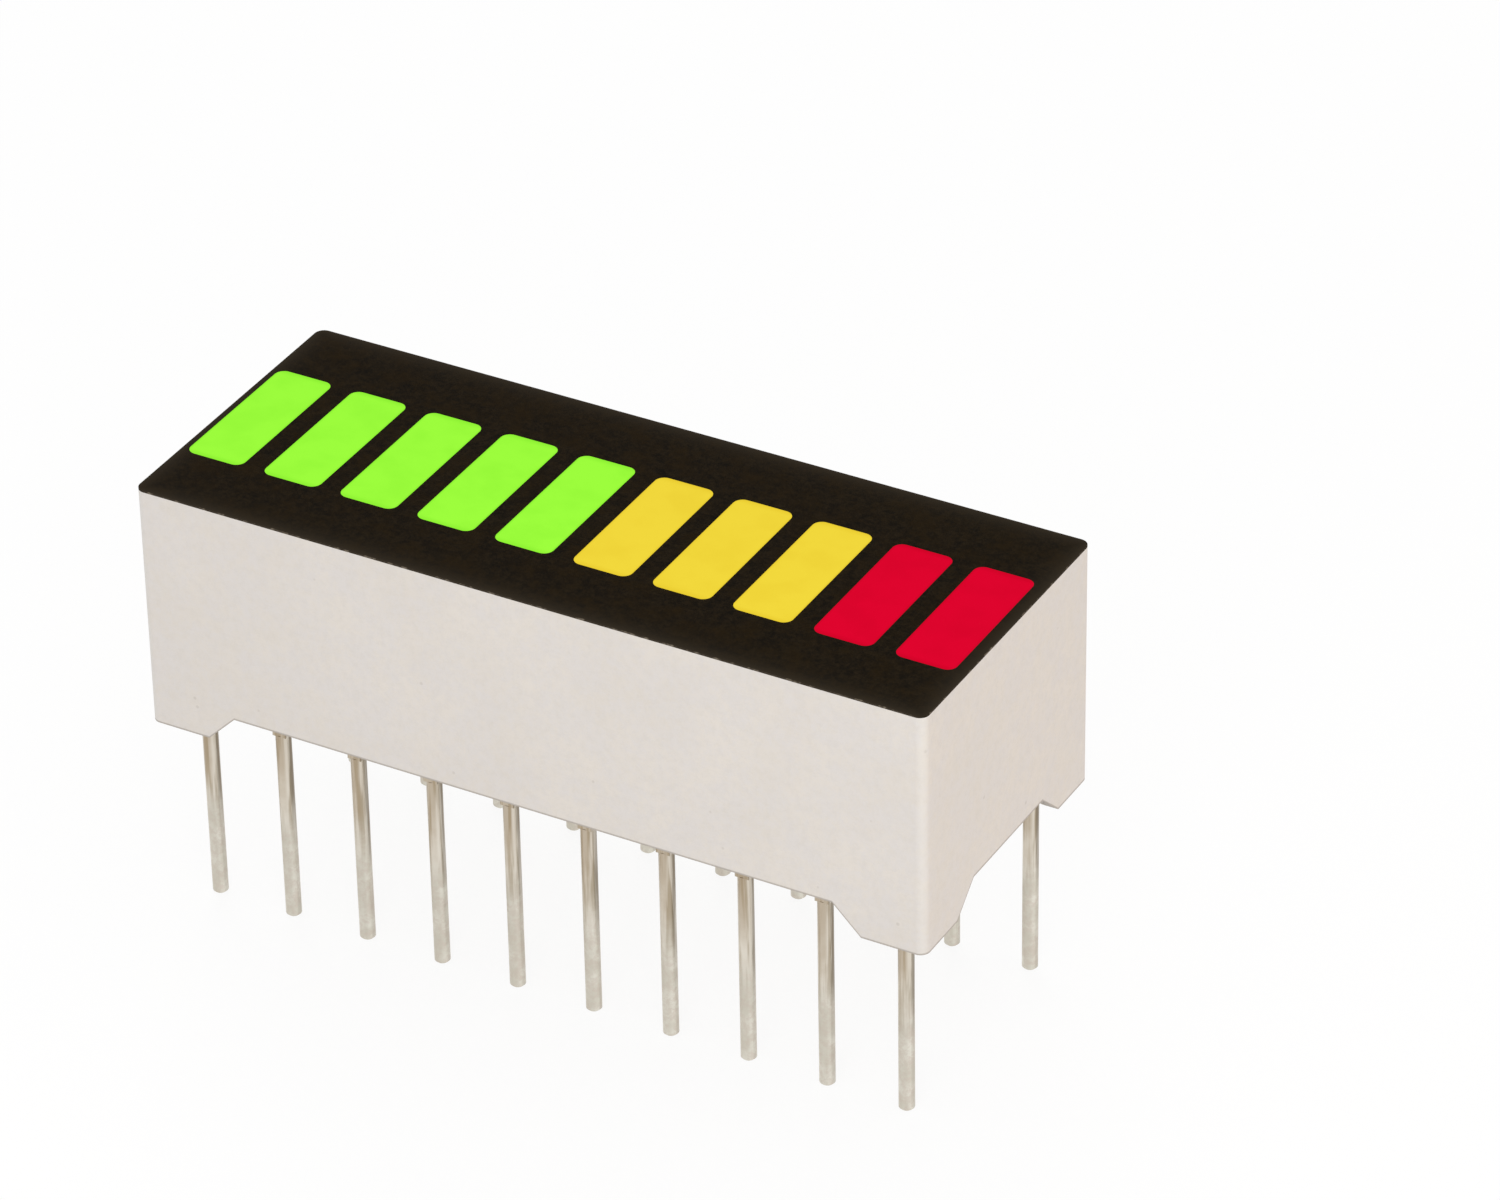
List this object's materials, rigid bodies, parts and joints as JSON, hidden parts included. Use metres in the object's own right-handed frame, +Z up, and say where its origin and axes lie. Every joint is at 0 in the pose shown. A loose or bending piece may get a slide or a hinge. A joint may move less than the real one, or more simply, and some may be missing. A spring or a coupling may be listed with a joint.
{
  "type": "led bar graph",
  "caption": "Bar graph display: a light grey moulded housing with a black face, a row of coloured rectangular segments and rows of round wire pins for a board or socket.",
  "frame": {"origin": "centre of the pin grid, on the seating plane under the corner feet", "axes": "+X along the row of segments from green to red, +Y across it towards the back row of pins, +Z up out of the face"},
  "size_m": [0.0252, 0.01, 0.0142],
  "materials": {
    "housing": "satin",
    "face": "matte",
    "segment_green": "satin",
    "segment_yellow": "satin",
    "segment_red": "satin",
    "board": "satin",
    "copper": "satin",
    "solder": "satin",
    "die": "gloss",
    "bond_wire": "polished",
    "potting": "satin",
    "pins": "satin"
  },
  "bodies": {
    "root": {"housing": "housing", "face_layer": "face", "circuit_board": "board", "anode_tracks": "copper", "cathode_tracks": "copper", "solder_joints": "solder", "potting": "potting", "segment_01": "segment_green", "segment_02": "segment_green", "segment_03": "segment_green", "segment_04": "segment_green", "segment_05": "segment_green", "segment_06": "segment_yellow", "segment_07": "segment_yellow", "segment_08": "segment_yellow", "segment_09": "segment_red", "segment_10": "segment_red", "led_die_01": "die", "led_die_02": "die", "led_die_03": "die", "led_die_04": "die", "led_die_05": "die", "led_die_06": "die", "led_die_07": "die", "led_die_08": "die", "led_die_09": "die", "led_die_10": "die", "bond_wire_01": "bond_wire", "bond_wire_02": "bond_wire", "bond_wire_03": "bond_wire", "bond_wire_04": "bond_wire", "bond_wire_05": "bond_wire", "bond_wire_06": "bond_wire", "bond_wire_07": "bond_wire", "bond_wire_08": "bond_wire", "bond_wire_09": "bond_wire", "bond_wire_10": "bond_wire", "pin_01": "pins", "pin_02": "pins", "pin_03": "pins", "pin_04": "pins", "pin_05": "pins", "pin_06": "pins", "pin_07": "pins", "pin_08": "pins", "pin_09": "pins", "pin_10": "pins", "pin_11": "pins", "pin_12": "pins", "pin_13": "pins", "pin_14": "pins", "pin_15": "pins", "pin_16": "pins", "pin_17": "pins", "pin_18": "pins", "pin_19": "pins", "pin_20": "pins"}
  },
  "joints": []
}
